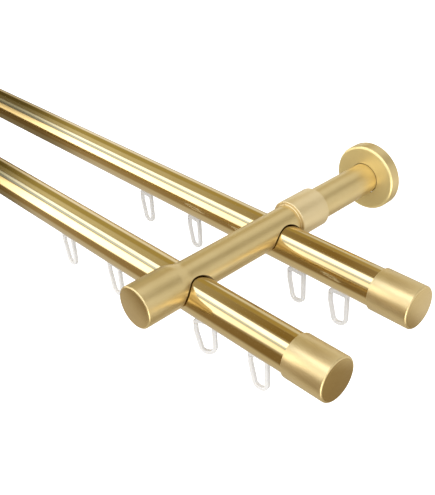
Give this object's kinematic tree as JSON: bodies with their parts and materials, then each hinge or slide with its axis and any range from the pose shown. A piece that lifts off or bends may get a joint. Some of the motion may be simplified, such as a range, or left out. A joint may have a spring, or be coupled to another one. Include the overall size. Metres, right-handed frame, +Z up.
{
  "type": "double curtain rod",
  "caption": "Double curtain rod in brass colour: round inner-track rods with end caps, held from above by saddle brackets on the wall, with click gliders that slide under them.",
  "frame": {"origin": "centre of the right bracket's wall plate, on the wall plane and on the arm's axis", "axes": "+X along the rods to the right end, +Y into the wall, +Z up"},
  "size_m": [1.0093, 0.1779, 0.0595],
  "materials": {
    "polished_brass": "polished",
    "satin_brass": "satin",
    "pale_satin_brass": "satin",
    "cap_brass": "semi-gloss",
    "zinc_plated": "zinc plated",
    "glider_plastic": "translucent, milky"
  },
  "bodies": {
    "rod_set": {"arm_left": "satin_brass", "arm_right": "satin_brass", "collar_left": "pale_satin_brass", "collar_right": "pale_satin_brass", "end_cap_front_left": "cap_brass", "end_cap_front_right": "cap_brass", "end_cap_rear_left": "cap_brass", "end_cap_rear_right": "cap_brass", "grub_screws_left": "zinc_plated", "grub_screws_right": "zinc_plated", "rod_front": "polished_brass", "rod_rear": "polished_brass", "rod_screws_left": "zinc_plated", "rod_screws_right": "zinc_plated", "rosette_left": "satin_brass", "rosette_right": "satin_brass", "stem_left": "satin_brass", "stem_right": "satin_brass", "wall_plate_left": "zinc_plated", "wall_plate_right": "zinc_plated"},
    "glider_rear_1": {"glider_rear_1": "glider_plastic"},
    "glider_rear_2": {"glider_rear_2": "glider_plastic"},
    "glider_rear_3": {"glider_rear_3": "glider_plastic"},
    "glider_rear_4": {"glider_rear_4": "glider_plastic"},
    "glider_front_1": {"glider_front_1": "glider_plastic"},
    "glider_front_2": {"glider_front_2": "glider_plastic"},
    "glider_front_3": {"glider_front_3": "glider_plastic"},
    "glider_front_4": {"glider_front_4": "glider_plastic"}
  },
  "joints": [
    {"name": "glider_rear_1_slide", "type": "slide", "parent": "rod_set", "child": "glider_rear_1", "axis": [1, 0, 0], "range_m": [-0.7805, 0.0156]},
    {"name": "glider_rear_2_slide", "type": "slide", "parent": "rod_set", "child": "glider_rear_2", "axis": [1, 0, 0], "range_m": [-0.0156, 0.03355]},
    {"name": "glider_rear_3_slide", "type": "slide", "parent": "rod_set", "child": "glider_rear_3", "axis": [1, 0, 0], "range_m": [-0.03355, 0.00725]},
    {"name": "glider_rear_4_slide", "type": "slide", "parent": "rod_set", "child": "glider_rear_4", "axis": [1, 0, 0], "range_m": [-0.00725, 0.0211]},
    {"name": "glider_front_1_slide", "type": "slide", "parent": "rod_set", "child": "glider_front_1", "axis": [1, 0, 0], "range_m": [-0.7822, 0.01525]},
    {"name": "glider_front_2_slide", "type": "slide", "parent": "rod_set", "child": "glider_front_2", "axis": [1, 0, 0], "range_m": [-0.01525, 0.02955]},
    {"name": "glider_front_3_slide", "type": "slide", "parent": "rod_set", "child": "glider_front_3", "axis": [1, 0, 0], "range_m": [-0.02955, 0.0112]},
    {"name": "glider_front_4_slide", "type": "slide", "parent": "rod_set", "child": "glider_front_4", "axis": [1, 0, 0], "range_m": [-0.0112, 0.0202]}
  ]
}
